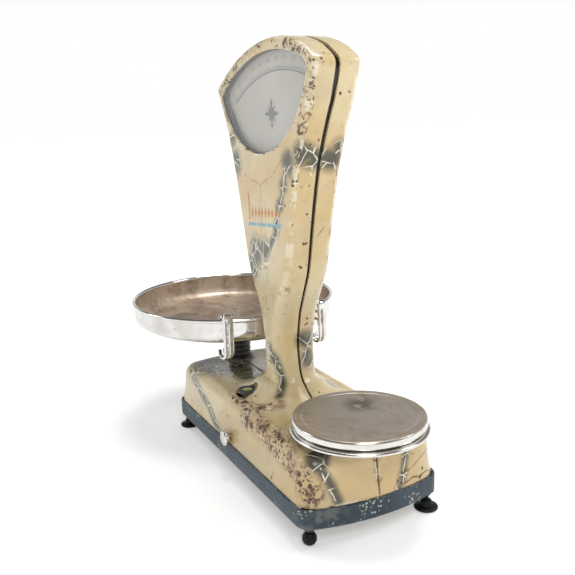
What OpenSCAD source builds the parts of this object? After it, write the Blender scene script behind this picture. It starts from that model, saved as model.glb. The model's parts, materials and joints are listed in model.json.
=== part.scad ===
// Counter-top pan scale: cast base, fan-headed tower, goods bowl on the left, weight plate on the right.
// +X runs from the bowl to the weight plate, -Y is the front, +Z is up, and the feet stand on z = 0.

/* [Base] */
// Where the tower's centre line stands along X
tower_x = 54; // [40:1:66]
// Half length of the base frame at its side walls
base_half_l = 247; // [240:1:255]
// Half width of the base frame
base_half_w = 115.5; // [108:0.5:120]
// How far each end of the base bulges outwards
end_bulge = 20; // [10:1:26]
// Corner radius of the base frame in plan
base_corner_r = 22; // [15:1:30]
// Underside of the base frame
frame_z0 = 27.6; // [25:0.2:30]
// Top of the base frame, where the housing sits
frame_z1 = 57.6; // [54:0.2:60]
// Top face of the housing's base
base_top = 128; // [126:1:132]
// Radius along the top edges of the housing's base
base_edge_r = 20; // [10:1:26]
// Wall thickness of the castings
wall = 4; // [3:0.5:5]

/* [Tower] */
// Half depth of the tower from the seam to its face
tower_half_d = 38; // [36:0.5:42]
// Gap between the two tower shells
tower_seam = 7; // [5:0.5:9]
// Gap between the two base shells
base_seam = 3; // [2:0.5:5]
// Pointer axis to the right of the tower's centre line
fan_dx = 38; // [34:1:40]
// Height of the pointer axis
fan_z = 337; // [330:1:345]
// Radius of the head's top about the pointer axis
head_r = 351; // [349:1:353]
// Radius of the window's top edge about the pointer axis
window_r = 333; // [330:1:335]

/* [Pans] */
// Distance from the beam's knife edge to either pan post
arm = 213.5; // [210:0.5:216]
// Bowl centre outboard of its post
bowl_offset = 17.5; // [12:0.5:18]
// Outside radius of the bowl's rim
bowl_r = 190; // [185:0.5:193]
// Height of the bowl's rim
bowl_z1 = 249; // [245:1:252]
// Underside of the bowl
bowl_z0 = 200.5; // [198:0.5:202]
// Radius of the chrome flange under the weight plate
flange_r = 100; // [95:1:102]
// Radius of the weight plate
plate_r = 96.6; // [92:0.2:98]
// Top face of the weight plate
plate_z1 = 161.5; // [160:0.5:164]

/* [Mechanism] */
// Height of the beam's knife edge
beam_z = 92; // [90:0.5:93]
// Height of the check link's pivot
check_z = 50; // [49:0.5:51]
// Throw of the pendulum's crank
crank_r = 5; // [4.5:0.1:5.5]
// Radial play in the pan, rod and piston pivots
pivot_play = 0.8; // [0.75:0.05:0.9]
// Radial clearance of a shaft in its bearing
bearing_play = 0.05; // [0.02:0.01:0.1]

/* [Feet] */
// Foot centres from the tower's centre line along X
foot_dx = 239; // [236:1:240]
// Foot centres from the centre line along Y
foot_dy = 99; // [97:0.5:100]
// Radius of a levelling screw
foot_screw_r = 4; // [3.5:0.25:4.5]
// Radius of a foot pad
foot_pad_r = 18; // [15:1:20]

/* [Hidden] */
$fn = 64;

goods_x = tower_x - arm;
plate_x = tower_x + arm;
bowl_x = goods_x - bowl_offset;
fan_x = tower_x + fan_dx;
dashpot_x = tower_x + 120;
rod_dx = -60;
knob_x = tower_x - 6;
knob_z = 68;
level_z = 132;
bar_y = 20;
link_y = 28;
crank_angle = 27;
pendulum_rest = 20;
stand_y = 38;
dial_y = 23;
post_r = 9;
pin_r = 3;
small_pin_r = 2;
grip_angle = 28;
grip_turn = 12;
grip_u = 13;
grip_t = 4.5;
screw_dx = 150;
screw_dy = 103;

// Half width of the tower at each height, the same on both sides.
tower_side = [[126, 104], [134, 82], [147, 61], [160, 44], [175, 38], [207, 33], [224, 32], [241, 35],
    [276, 44], [312, 60], [345, 74], [394, 85], [455, 99], [513, 116], [569, 141], [598, 156]];
// Half depth of the tower at each height.
tower_depth = [[110, 86], [126, 84], [132, 70], [144, 53], [158, 42], [176, tower_half_d],
    [700, tower_half_d]];
// The head's shoulders: rounded corners outside the arc about the pointer axis.
right_shoulder = [[168, 622], [171, 636], [169, 646], [161, 655], [146, 666]];
left_shoulder = [[-158, 628], [-166, 620], [-167, 610]];
// The window below its top arc, from the left corner round to the right.
window_sill = [[-148, 606], [-142, 594], [-127, 573], [-104, 552], [-74, 534], [-40, 523], [-5, 520],
    [30, 525], [64, 536], [96, 555], [120, 578], [136, 600], [146, 620], [152, 638], [150, 645]];

function arc(cx, cy, r, a0, a1, n) = [for (i = [0:n]) let (a = a0 + (a1 - a0) * i / n)
    [cx + r * sin(a), cy + r * cos(a)]];
function shrink(p, c, d) = [for (q = p) let (v = q - c, l = norm(v)) c + v * (l - d) / l];

// Front outline of the tower, its wall set in by d.
function tower_outline(d) = concat(
    d > 0 ? [[tower_side[0][1] - d, 112]] : [],
    [for (q = tower_side) [q[1] - d, q[0]]],
    shrink(right_shoulder, [0, 560], d),
    arc(fan_dx, fan_z, head_r - d, 13, -33, 24),
    shrink(left_shoulder, [0, 560], d),
    [for (i = [len(tower_side) - 1:-1:0]) [d - tower_side[i][1], tower_side[i][0]]],
    d > 0 ? [[d - tower_side[0][1], 112]] : []);

function window_outline(grow) = shrink(
    concat(arc(fan_dx, fan_z, window_r, 19, -33, 12), window_sill), [0, 590], -grow);

// Plan of the base: straight sides, ends on a large arc and filleted corners, all set in by d.
function base_plan(d) = let (
        b = base_half_w - d,
        r = base_corner_r - d,
        tip = base_half_l + end_bulge - d,
        re = (pow(base_half_w, 2) + pow(end_bulge, 2)) / (2 * end_bulge) - d,
        ex = tip - re,
        cx = ex + sqrt(pow(re - r, 2) - pow(b - r, 2)),
        a = atan2(b - r, cx - ex),
        quarter = concat([for (i = [0:6]) [ex + re * cos(a * i / 6), re * sin(a * i / 6)]],
            [for (i = [1:6]) let (t = a + (90 - a) * i / 6) [cx + r * cos(t), b - r + r * sin(t)]]),
        n = len(quarter) - 1)
    concat([for (i = [0:n]) quarter[i]], [for (i = [n:-1:0]) [-quarter[i][0], quarter[i][1]]],
        [for (i = [0:n]) -quarter[i]], [for (i = [n:-1:0]) [quarter[i][0], -quarter[i][1]]]);

// A profile of half width w up to height h, with rounded top corners of radius r.
function crowned(w, h, r, z0) = concat([[-w - 6, z0]],
    [for (i = [0:6]) let (t = 180 - 90 * i / 6) [-w + r + r * cos(t), h - r + r * sin(t)]],
    [for (i = [0:6]) let (t = 90 - 90 * i / 6) [w - r + r * cos(t), h - r + r * sin(t)]], [[w + 6, z0]]);

module at_tower() { translate([tower_x, 0, 0]) children(); }

// Extrudes an outline drawn in X and Z along Y, from y0 to y1.
module along_y(y0, y1) {
    translate([0, y1, 0]) rotate([90, 0, 0]) linear_extrude(y1 - y0) children();
}

// Extrudes an outline drawn in Y and Z along X, centred.
module along_x(l) {
    translate([-l / 2, 0, 0]) rotate([90, 0, 90]) linear_extrude(l) children();
}

module pin_y(x, z, r, y0, y1) {
    translate([x, y1, z]) rotate([90, 0, 0]) cylinder(r = r, h = y1 - y0);
}

// The tower as a solid block, its wall set in by d.
module tower_block(d) {
    intersection() {
        along_y(-90, 90) polygon(tower_outline(d));
        along_x(400) polygon(concat([for (q = tower_depth) [q[1] - d, q[0]]],
            [for (i = [len(tower_depth) - 1:-1:0]) [d - tower_depth[i][1], tower_depth[i][0]]]));
    }
}

// The housing's base as a solid block, its wall set in by d.
module base_block(d) {
    z0 = frame_z1 - d;
    intersection() {
        translate([0, 0, z0]) linear_extrude(base_top - d - z0) polygon(base_plan(3 + d));
        along_x(600) polygon(crowned(base_half_w - 9 - d, base_top - d, base_edge_r, z0));
        along_y(-130, 130) polygon(crowned(base_half_l + end_bulge - 9 - d, base_top - d, base_edge_r, z0));
    }
}

module post_hole(x) {
    translate([x, 0, base_top - 20]) cylinder(r = post_r + 5, h = 40);
}

module at_level() { translate([tower_x - 24, -69, level_z]) children(); }

// Solid seat for the spirit level, where the tower's foot slopes.
module level_pocket() {
    intersection() {
        at_level() translate([0, 0, -12]) cylinder(r = 18.5, h = 40);
        at_tower() union() {
            tower_block(0);
            base_block(0);
        }
    }
}

// One half of the housing; side is -1 for the front and 1 for the rear.
module housing(side) {
    difference() {
        union() {
            difference() {
                at_tower() union() {
                    tower_block(0);
                    base_block(0);
                }
                at_tower() tower_block(wall);
                at_tower() base_block(wall);
            }
            for (sx = [-1, 1]) at_tower() translate([sx * screw_dx, side * screw_dy, frame_z1])
                cylinder(r = 7, h = 14);
            if (side < 0) level_pocket();
        }
        for (sx = [-1, 1]) at_tower() translate([sx * screw_dx, side * screw_dy, frame_z1 - 1])
            cylinder(r = 3.05, h = 12);
        at_tower() translate([0, -side * 200 + side * tower_seam / 2, 470])
            cube([800, 400, 700], center = true);
        at_tower() translate([0, -side * 200 + side * base_seam / 2, 300])
            cube([800, 400, 700], center = true);
        at_tower() along_y(side < 0 ? -60 : 20, side < 0 ? -20 : 60) polygon(window_outline(0));
        post_hole(goods_x);
        post_hole(plate_x);
        if (side < 0) pin_y(knob_x, knob_z, foot_screw_r + 0.5, -130, -90);
        if (side < 0) at_level() cylinder(r = 12, h = 60, center = true);
        if (side < 0) at_level() translate([0, 0, 1]) cylinder(r = 14.8, h = 30);
    }
}

module front_housing() { color([0.80, 0.74, 0.58]) housing(-1); }

module rear_housing() { color([0.78, 0.72, 0.56]) housing(1); }

module base_frame() {
    color([0.20, 0.29, 0.36]) difference() {
        at_tower() union() {
            difference() {
                translate([0, 0, frame_z0]) linear_extrude(frame_z1 - frame_z0) polygon(base_plan(0));
                translate([0, 0, frame_z0 - 1]) linear_extrude(frame_z1 - frame_z0 + 2)
                    polygon(base_plan(wall + 1));
            }
            for (x = [0, 120]) translate([x - 24, -base_half_w + 3, frame_z0])
                cube([48, 2 * base_half_w - 6, 6]);
            for (sx = [-1, 1], sy = [-1, 1]) {
                translate([sx * foot_dx, sy * foot_dy, frame_z0]) cylinder(r = 12, h = 26);
                translate([sx * screw_dx, sy * screw_dy, frame_z1 - 6]) cylinder(r = 8, h = 6);
                translate([sx * screw_dx - 8, sy * 108 - 5, frame_z1 - 6]) cube([16, 10, 6]);
            }
        }
        at_tower() for (sx = [-1, 1], sy = [-1, 1]) {
            translate([sx * foot_dx, sy * foot_dy, frame_z0 - 1])
                cylinder(r = foot_screw_r + bearing_play, h = 40);
            translate([sx * screw_dx, sy * screw_dy, frame_z0]) cylinder(r = 3.05, h = 40);
        }
    }
}

module housing_screws() {
    color([0.45, 0.45, 0.44]) at_tower() for (sx = [-1, 1], sy = [-1, 1])
        translate([sx * screw_dx, sy * screw_dy, 0]) {
            translate([0, 0, frame_z1 - 10]) cylinder(r = 5, h = 4);
            translate([0, 0, frame_z1 - 6]) cylinder(r = 3, h = 16);
        }
}

// Black frame that fills the seam between the shells and carries the pointer shaft.
module tower_frame() {
    color([0.06, 0.06, 0.06]) at_tower() {
        difference() {
            union() {
                difference() {
                    along_y(-tower_seam / 2, tower_seam / 2) polygon(tower_outline(5));
                    along_y(-10, 10) polygon(tower_outline(16));
                    translate([-150, -20, 100]) cube([300, 40, 50]);
                }
                translate([-60, -tower_seam / 2, fan_z - 7]) cube([120, tower_seam, 14]);
                pin_y(fan_dx, fan_z, 10, -tower_seam / 2, tower_seam / 2);
            }
            pin_y(fan_dx, fan_z, pin_r + bearing_play, -20, 20);
        }
        for (sx = [-1, 1]) translate([sx * 36 - 7, -tower_seam / 2, 146]) cube([14, tower_seam, 8]);
    }
}

module dial(side) {
    y0 = side < 0 ? -dial_y : dial_y - 1.5;
    color([0.72, 0.71, 0.68]) at_tower() along_y(y0, y0 + 1.5) polygon(window_outline(5));
}

module front_dial() { dial(-1); }

module rear_dial() { dial(1); }

// Dark lining between the shell and the dial; the pointer passes behind it.
module window_seal(side) {
    y0 = dial_y + 3.4;
    y1 = tower_half_d - wall;
    color([0.16, 0.17, 0.18]) at_tower() difference() {
        along_y(side < 0 ? -y1 : y0, side < 0 ? -y0 : y1) polygon(window_outline(3));
        along_y(-60, 60) polygon(window_outline(0));
    }
}

module front_window_seal() { window_seal(-1); }

module rear_window_seal() { window_seal(1); }

module window_glass(side) {
    y0 = tower_half_d - wall - 2.2;
    color([0.8, 0.85, 0.85, 0.3]) at_tower()
        along_y(side < 0 ? -y0 - 2 : y0, side < 0 ? -y0 : y0 + 2) polygon(window_outline(-0.2));
}

module front_glass() { window_glass(-1); }

module rear_glass() { window_glass(1); }

module level_ring() {
    color([0.10, 0.10, 0.10]) at_level() difference() {
        union() {
            translate([0, 0, -9]) cylinder(r = 11.8, h = 11);
            translate([0, 0, 1.2]) cylinder(r = 14.5, h = 3.8);
        }
        translate([0, 0, -6]) cylinder(r = 9.5, h = 12);
    }
}

module level_vial() {
    color([0.75, 0.78, 0.62]) at_level() translate([0, 0, -5.8]) cylinder(r = 9.4, h = 9.2);
}

module goods_collar() {
    color([0.05, 0.05, 0.06]) translate([goods_x, 0, 0]) rotate_extrude() polygon([
        [post_r + 3, base_top], [26, base_top], [26, base_top + 3], [23, base_top + 6],
        [21.5, 170], [19.5, 172], [post_r + 3, 172]]);
}

module goods_collar_ring() {
    color([0.55, 0.55, 0.54]) translate([goods_x, 0, base_top]) difference() {
        cylinder(r = 29, h = 2.5);
        translate([0, 0, -1]) cylinder(r = 26.05, h = 5);
    }
}

module plate_collar() {
    color([0.07, 0.07, 0.07]) translate([plate_x, 0, base_top]) difference() {
        cylinder(r = 27, h = 9);
        translate([0, 0, -1]) cylinder(r = post_r + 3, h = 12);
    }
}

// Two plates on the base frame that carry the beam, the check link and the lock shaft.
module bearing_stands() {
    color([0.30, 0.31, 0.32]) at_tower() for (s = [-1, 1]) difference() {
        union() {
            translate([-16, s * stand_y - 4, frame_z0 + 6]) cube([32, 8, beam_z - frame_z0 - 6]);
            pin_y(0, beam_z, 12, s * stand_y - 4, s * stand_y + 4);
            translate([-16, s * stand_y - 9, frame_z0 + 6]) cube([32, 18, 5]);
        }
        pin_y(0, beam_z, 4 + bearing_play, -60, 60);
        pin_y(0, check_z, pin_r + bearing_play, -60, 60);
        pin_y(knob_x - tower_x, knob_z, foot_screw_r + bearing_play, -60, 60);
    }
}

module beam() {
    color([0.36, 0.37, 0.38]) at_tower() difference() {
        union() {
            for (s = [-1, 1]) {
                translate([-arm, s * bar_y - 3, beam_z - 8]) cube([2 * arm, 6, 16]);
                for (x = [-arm, 0, arm]) pin_y(x, beam_z, 11, s * bar_y - 3, s * bar_y + 3);
            }
            for (x = [-150, -30, 60, 165]) translate([x, -bar_y, beam_z - 5]) cube([8, 2 * bar_y, 10]);
        }
        for (x = [-arm, arm]) pin_y(x, beam_z, pin_r + pivot_play, -60, 60);
        pin_y(0, beam_z, 4, -60, 60);
        for (x = [rod_dx, dashpot_x - tower_x]) pin_y(x, beam_z, small_pin_r, -60, 60);
    }
}

module beam_knife() {
    color([0.6, 0.6, 0.6]) pin_y(tower_x, beam_z, 4, -stand_y - 5, stand_y + 5);
}

module beam_pins() {
    color([0.6, 0.6, 0.6]) for (x = [tower_x + rod_dx, dashpot_x])
        pin_y(x, beam_z, small_pin_r, -bar_y - 4, bar_y + 4);
}

// Lower bar of the parallel motion that keeps both pans level.
module check_link() {
    color([0.40, 0.41, 0.42]) at_tower() difference() {
        union() for (s = [-1, 1]) {
            translate([-arm, s * link_y - 2, check_z - 6]) cube([2 * arm, 4, 12]);
            for (x = [-arm, 0, arm]) pin_y(x, check_z, 8, s * link_y - 2, s * link_y + 2);
        }
        for (x = [-arm, arm]) pin_y(x, check_z, pin_r + pivot_play, -60, 60);
        pin_y(0, check_z, pin_r, -60, 60);
    }
}

module check_link_pin() {
    color([0.6, 0.6, 0.6]) pin_y(tower_x, check_z, pin_r, -stand_y - 5, stand_y + 5);
}

module pan_post(top) {
    difference() {
        translate([0, 0, check_z - 5]) cylinder(r = post_r, h = top - check_z + 5);
        for (z = [beam_z, check_z]) pin_y(0, z, pin_r, -20, 20);
    }
}

module pan_post_pins(x) {
    color([0.6, 0.6, 0.6]) {
        pin_y(x, beam_z, pin_r, -bar_y - 5, bar_y + 5);
        pin_y(x, check_z, pin_r, -link_y - 4, link_y + 4);
    }
}

// Post with a four-armed spider and a ring that the bowl rests on.
module goods_support() {
    color([0.12, 0.12, 0.13]) translate([goods_x, 0, 0]) {
        pan_post(190);
        translate([-bowl_offset, 0, 192]) difference() {
            cylinder(r = 78, h = bowl_z0 - 0.3 - 192);
            translate([0, 0, -1]) cylinder(r = 68, h = 20);
        }
        translate([-bowl_offset, 0, 189]) {
            translate([-72, -8, 0]) cube([144, 16, 7]);
            translate([-8, -72, 0]) cube([16, 144, 7]);
            cylinder(r = 30, h = 7);
        }
    }
}

module goods_support_pins() { pan_post_pins(goods_x); }

// Outer wall of the bowl: nearly upright under the rim, turning tightly into a flat bottom.
function bowl_wall(d) = [for (i = [0:16]) let (k = i / 16)
    [116 + (bowl_r - 119) * pow(1 - pow(k, 6), 0.27) - d, bowl_z1 - 4 - (bowl_z1 - 4 - bowl_z0) * k]];

module bowl() {
    t = 1.8;
    outer = bowl_wall(0);
    inner = [for (q = bowl_wall(t)) [q[0], q[1] < bowl_z0 + t ? bowl_z0 + t : q[1]]];
    color([0.72, 0.71, 0.69]) translate([bowl_x, 0, 0]) {
        rotate_extrude($fn = 128) polygon(concat([[0, bowl_z0]], [for (i = [16:-1:0]) outer[i]],
            [for (i = [0:15]) inner[i]], [[114, bowl_z0 + t], [0, bowl_z0 + t]]));
        rotate_extrude($fn = 128) translate([bowl_r - 3.5, bowl_z1 - 3.5]) circle(3.5, $fn = 24);
    }
}

// Half of a bent strap: a ring of mean radius r about (u, v), kept above v, or below it if dir is -1.
module strap_bend(u, v, r, dir) {
    intersection() {
        translate([u, v]) difference() {
            circle(r + grip_t / 2);
            circle(r - grip_t / 2);
        }
        translate([u - 2 * r, dir > 0 ? v : v - 2 * r]) square([4 * r, 2 * r]);
    }
}

// A grip strap, drawn outwards from the rim (X) and up (Y): upright outside the bowl, curled in below it.
module grip_strap() {
    translate([grip_u - grip_t / 2, 193.9]) square([grip_t, 58.2]);
    strap_bend(grip_u - 10, 194, 10, -1);
    translate([grip_u - 20 - grip_t / 2, 193.9]) square([grip_t, 3]);
}

module at_grip(s) {
    translate([bowl_x + bowl_r * cos(grip_angle), s * bowl_r * sin(grip_angle), 0])
        rotate([0, 0, grip_turn]) children();
}

// Each grip is a narrow and a broad strap joined by a knuckle above the rim.
module bowl_grips() {
    color([0.74, 0.74, 0.73]) for (s = [-1, 1]) at_grip(s) {
        along_y(-9, -3) grip_strap();
        along_y(0, 10) grip_strap();
        along_y(-9, 10) strap_bend(grip_u - 6, 252, 6, 1);
    }
}

module bowl_rivets() {
    color([0.70, 0.70, 0.69]) for (s = [-1, 1]) at_grip(s) for (z = [222, 236])
        translate([-6, 4, z]) rotate([0, 90, 0]) cylinder(r = 3, h = grip_u + 6 - grip_t / 2 + 2);
}

// Post with the chrome flange that the weight plate rests on.
module weight_support() {
    color([0.70, 0.70, 0.68]) translate([plate_x, 0, 0]) {
        pan_post(144);
        rotate_extrude($fn = 96) polygon([[0, 143.5], [92, 143.5], [95, 141.5], [98.5, 141.5],
            [flange_r, 143], [flange_r, 145], [98.5, 146.5], [94, 147.5], [0, 147.5]]);
    }
}

module weight_support_pins() { pan_post_pins(plate_x); }

module weight_plate() {
    z0 = 148;
    color([0.62, 0.60, 0.56]) translate([plate_x, 0, 0]) rotate_extrude($fn = 96) polygon([
        [0, z0], [plate_r - 5, z0], [plate_r - 1.5, z0 + 1.5], [plate_r, z0 + 4], [plate_r, plate_z1 - 3.5],
        [plate_r - 1.2, plate_z1 - 1], [plate_r - 3.5, plate_z1], [plate_r * 0.86, plate_z1],
        [plate_r * 0.84, plate_z1 - 0.8], [0, plate_z1 - 0.8]]);
}

// Rod from the beam up to the pendulum's crank.
module connecting_rod() {
    top = [fan_dx + crank_r * cos(crank_angle), fan_z + crank_r * sin(crank_angle)];
    low = [rod_dx, beam_z];
    l = norm(top - low);
    tilt = atan2(top[0] - low[0], top[1] - low[1]);
    color([0.55, 0.55, 0.54]) at_tower() translate([low[0], -11, low[1]]) rotate([0, tilt, 0])
        rotate([90, 0, 0]) linear_extrude(3) difference() {
            union() {
                circle(5.5);
                translate([0, l]) circle(5.5);
                translate([-1.5, 3]) square([3, l - 6]);
            }
            circle(small_pin_r + pivot_play);
            translate([0, l]) circle(1.5 + pivot_play + 0.3);
        }
}

// Two crank discs joined by the pin that the rod turns; the front one ends in the front pointer's stub.
module crank() {
    color([0.42, 0.43, 0.44]) translate([fan_x, 0, fan_z]) {
        difference() {
            pin_y(0, 0, 10, -9, -5);
            pin_y(0, 0, pin_r, -20, 20);
        }
        pin_y(crank_r * cos(crank_angle), crank_r * sin(crank_angle), 1.5, -17, -8);
        pin_y(0, 0, 10, -20, -16);
        pin_y(0, 0, pin_r, -27, -19);
    }
}

module at_pendulum() {
    translate([fan_x, 0, fan_z]) rotate([0, pendulum_rest, 0]) children();
}

// Arm behind the frame that carries the pendulum's weight.
module pendulum_arm() {
    color([0.42, 0.43, 0.44]) at_pendulum() difference() {
        union() {
            pin_y(0, 0, 9, 5, 9);
            translate([-4, 5, -56]) cube([8, 4, 56]);
        }
        pin_y(0, 0, pin_r, -20, 20);
    }
}

module pendulum_bob() {
    color([0.75, 0.62, 0.32]) at_pendulum() pin_y(0, -50, 15, 9, 20);
}

module pointer_shaft() {
    color([0.6, 0.6, 0.6]) pin_y(fan_x, fan_z, pin_r, -8.5, 27);
}

// Long tapered pointer with a hub and a short tail; side is -1 at the front and 1 at the rear.
module pointer(side) {
    y0 = side < 0 ? -dial_y - 2.4 : dial_y + 1.6;
    color([0.06, 0.06, 0.06]) translate([fan_x, 0, fan_z]) rotate([0, -34, 0]) difference() {
        union() {
            pin_y(0, 0, 8, y0, y0 + 0.8);
            along_y(y0, y0 + 0.8) polygon([[-4, 0], [-1.6, 180], [-0.5, 304], [0.5, 304], [1.6, 180], [4, 0],
                [3.2, -26], [-3.2, -26]]);
        }
        pin_y(0, 0, pin_r, -40, 40);
    }
}

module front_pointer() { pointer(-1); }

module rear_pointer() { pointer(1); }

module dashpot_cylinder() {
    color([0.32, 0.33, 0.34]) translate([dashpot_x, 0, frame_z0 + 6]) difference() {
        cylinder(r = 20, h = 38);
        translate([0, 0, 3]) cylinder(r = 17, h = 40);
    }
}

module dashpot_piston() {
    color([0.5, 0.5, 0.49]) translate([dashpot_x, 0, 0]) {
        translate([0, 0, 44]) cylinder(r = 16.5, h = 4);
        translate([0, 0, 47]) cylinder(r = 2.5, h = beam_z - 51);
        difference() {
            pin_y(0, beam_z, 5.5, -3.5, 3.5);
            pin_y(0, beam_z, small_pin_r + pivot_play, -5, 5);
        }
    }
}

// Knob shaft with the lobe that rises under the beam when the knob is turned.
module lock_shaft() {
    color([0.5, 0.5, 0.49]) {
        pin_y(knob_x, knob_z, foot_screw_r, -118, -12);
        pin_y(knob_x, knob_z - 0.5, 6, -24, -14);
        pin_y(knob_x - 6, knob_z, 7, -24, -14);
    }
}

module lock_knob() {
    color([0.66, 0.65, 0.62]) translate([knob_x, -116, knob_z]) rotate([90, 0, 0]) difference() {
        rotate_extrude() polygon([[0, 0], [11, 0], [13, 1.5], [13, 6], [11.5, 8], [7, 9], [0, 9.5]]);
        translate([0, 0, -1]) cylinder(r = foot_screw_r, h = 3);
    }
}

module at_foot(sx, sy) {
    translate([tower_x + sx * foot_dx, sy * foot_dy, 0]) children();
}

module lock_nuts() {
    color([0.15, 0.15, 0.15]) for (sx = [-1, 1], sy = [-1, 1]) at_foot(sx, sy)
        translate([0, 0, frame_z0 - 5]) difference() {
            cylinder(r = 8, h = 5, $fn = 6);
            translate([0, 0, -1]) cylinder(r = foot_screw_r + bearing_play, h = 8);
        }
}

// Levelling screw with a stepped pad.
module pad_foot() {
    color([0.10, 0.10, 0.10]) {
        rotate_extrude() polygon([[0, 0], [foot_pad_r - 1, 0], [foot_pad_r, 1], [foot_pad_r, 3.5],
            [foot_pad_r - 3, 5], [10, 6.5], [9, 12], [7, 14], [0, 14]]);
        translate([0, 0, 13]) cylinder(r = foot_screw_r, h = 43);
    }
}

// Levelling screw that stands on its bare ball end.
module ball_foot() {
    color([0.10, 0.10, 0.10]) {
        translate([0, 0, 10.5]) sphere(r = 10.5);
        translate([0, 0, 16]) cylinder(r = foot_screw_r, h = 40);
    }
}

module foot_front_left() { at_foot(-1, -1) pad_foot(); }

module foot_front_right() { at_foot(1, -1) ball_foot(); }

module foot_rear_left() { at_foot(-1, 1) pad_foot(); }

module foot_rear_right() { at_foot(1, 1) pad_foot(); }

base_frame();
front_housing();
rear_housing();
tower_frame();
front_dial();
rear_dial();
front_window_seal();
rear_window_seal();
front_glass();
rear_glass();
level_ring();
level_vial();
goods_collar();
goods_collar_ring();
plate_collar();
bearing_stands();
dashpot_cylinder();
lock_nuts();
housing_screws();
beam();
beam_knife();
beam_pins();
check_link();
check_link_pin();
goods_support();
goods_support_pins();
bowl();
bowl_grips();
bowl_rivets();
weight_support();
weight_support_pins();
weight_plate();
connecting_rod();
crank();
pendulum_arm();
pendulum_bob();
pointer_shaft();
front_pointer();
rear_pointer();
dashpot_piston();
lock_shaft();
lock_knob();
foot_front_left();
foot_front_right();
foot_rear_left();
foot_rear_right();
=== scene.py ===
"""Counter pan scale: enamelled housing, chrome pans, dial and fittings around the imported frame."""
import json
from math import atan2, cos, pi, radians, sin, sqrt

import bmesh
import bpy
import numpy as np
from mathutils import Euler, Matrix, Vector


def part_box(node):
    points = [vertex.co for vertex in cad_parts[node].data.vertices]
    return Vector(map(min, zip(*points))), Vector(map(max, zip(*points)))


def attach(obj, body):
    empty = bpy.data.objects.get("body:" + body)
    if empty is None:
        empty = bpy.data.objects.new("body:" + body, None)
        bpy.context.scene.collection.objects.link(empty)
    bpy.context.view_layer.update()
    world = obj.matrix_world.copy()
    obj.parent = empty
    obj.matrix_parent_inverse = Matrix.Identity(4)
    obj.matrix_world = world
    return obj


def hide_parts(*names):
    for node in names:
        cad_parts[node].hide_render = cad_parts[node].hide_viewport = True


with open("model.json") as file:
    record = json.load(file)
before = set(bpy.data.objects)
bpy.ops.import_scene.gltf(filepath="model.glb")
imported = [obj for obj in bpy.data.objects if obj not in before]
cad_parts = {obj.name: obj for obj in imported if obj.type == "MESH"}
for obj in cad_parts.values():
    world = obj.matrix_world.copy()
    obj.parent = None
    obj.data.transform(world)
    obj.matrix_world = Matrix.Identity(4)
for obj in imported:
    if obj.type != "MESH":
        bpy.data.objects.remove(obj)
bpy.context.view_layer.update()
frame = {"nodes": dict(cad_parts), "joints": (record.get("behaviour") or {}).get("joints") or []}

MM = 0.001
NODES = frame["nodes"]
JOINTS = {j["name"]: j for j in frame["joints"]}


def middle(node):
    low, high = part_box(node)
    return (low + high) / 2


# ---------------------------------------------------------------- places, in millimetres
TOWER_X = JOINTS["beam_rock"]["pos_m"][0] / MM
FAN_DX = JOINTS["pointer_swing"]["pos_m"][0] / MM - TOWER_X
FAN_Z = JOINTS["pointer_swing"]["pos_m"][2] / MM
GOODS_X = middle("goods_collar").x / MM
PLATE_X = middle("weight_plate").x / MM
BOWL_X = middle("bowl").x / MM
SKIRT_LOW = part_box("base_frame")[0].z / MM
SKIRT_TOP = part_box("base_frame")[1].z / MM
SKIRT_HALF_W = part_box("base_frame")[1].y / MM
SKIRT_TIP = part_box("base_frame")[1].x / MM - TOWER_X
BASE_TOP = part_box("goods_collar")[0].z / MM
HEAD_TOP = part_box("front_housing")[1].z / MM
FACE_Y = 38.0
WALL = 4.0
END_BULGE = 20.0
HEAD_R = HEAD_TOP - FAN_Z
WINDOW_R = HEAD_R - 18
FEET = ("foot_front_left", "foot_front_right", "foot_rear_left", "foot_rear_right")


# ---------------------------------------------------------------- small geometry helpers
def polar(x, z, r, a):
    """Point at radius r from (x, z), a degrees clockwise from straight up."""
    return x + r * sin(radians(a)), z + r * cos(radians(a))


def skin(n, rings, closed=False):
    """Faces between neighbouring rings of n points; closed joins the last ring to the first."""
    faces = []
    for k in range(rings if closed else rings - 1):
        a, b = k * n, (k + 1) % rings * n
        faces += [(a + i, a + (i + 1) % n, b + (i + 1) % n, b + i) for i in range(n)]
    return faces


def smooth_curve(points, steps, closed=False):
    """Catmull-Rom curve through the points."""
    p = [np.array(q, float) for q in points]
    n = len(p)
    out = []
    last = n if closed else n - 1
    for i in range(last):
        if closed:
            a, b, c, d = p[(i - 1) % n], p[i], p[(i + 1) % n], p[(i + 2) % n]
        else:
            b, c = p[i], p[i + 1]
            a = p[i - 1] if i else 2 * b - c
            d = p[i + 2] if i + 2 < n else 2 * c - b
        for k in range(steps):
            t = k / steps
            out.append(0.5 * (2 * b + (c - a) * t + (2 * a - 5 * b + 4 * c - d) * t ** 2
                              + (3 * b - 3 * c + d - a) * t ** 3))
    if not closed:
        out.append(p[-1])
    return out


def lookup(pairs):
    """Smooth function through (height, value) pairs."""
    c = np.array(smooth_curve(pairs, 8))
    return lambda z: float(np.interp(z, c[:, 0], c[:, 1]))


def mesh_object(name, verts, faces, scale=MM):
    me = bpy.data.meshes.new(name)
    me.from_pydata([tuple(np.array(v) * scale) for v in verts], [], faces)
    me.update()
    ob = bpy.data.objects.new(name, me)
    bpy.context.scene.collection.objects.link(ob)
    return ob


def tidy(ob, sharp=35):
    """Outward normals, smooth faces and sharp edges only where the surface really turns."""
    bm = bmesh.new()
    bm.from_mesh(ob.data)
    bmesh.ops.remove_doubles(bm, verts=bm.verts, dist=1e-6)
    bmesh.ops.recalc_face_normals(bm, faces=bm.faces)
    for f in bm.faces:
        f.smooth = True
    for e in bm.edges:
        e.smooth = len(e.link_faces) != 2 or e.calc_face_angle(0) < radians(sharp)
    bm.to_mesh(ob.data)
    bm.free()
    return ob


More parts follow.
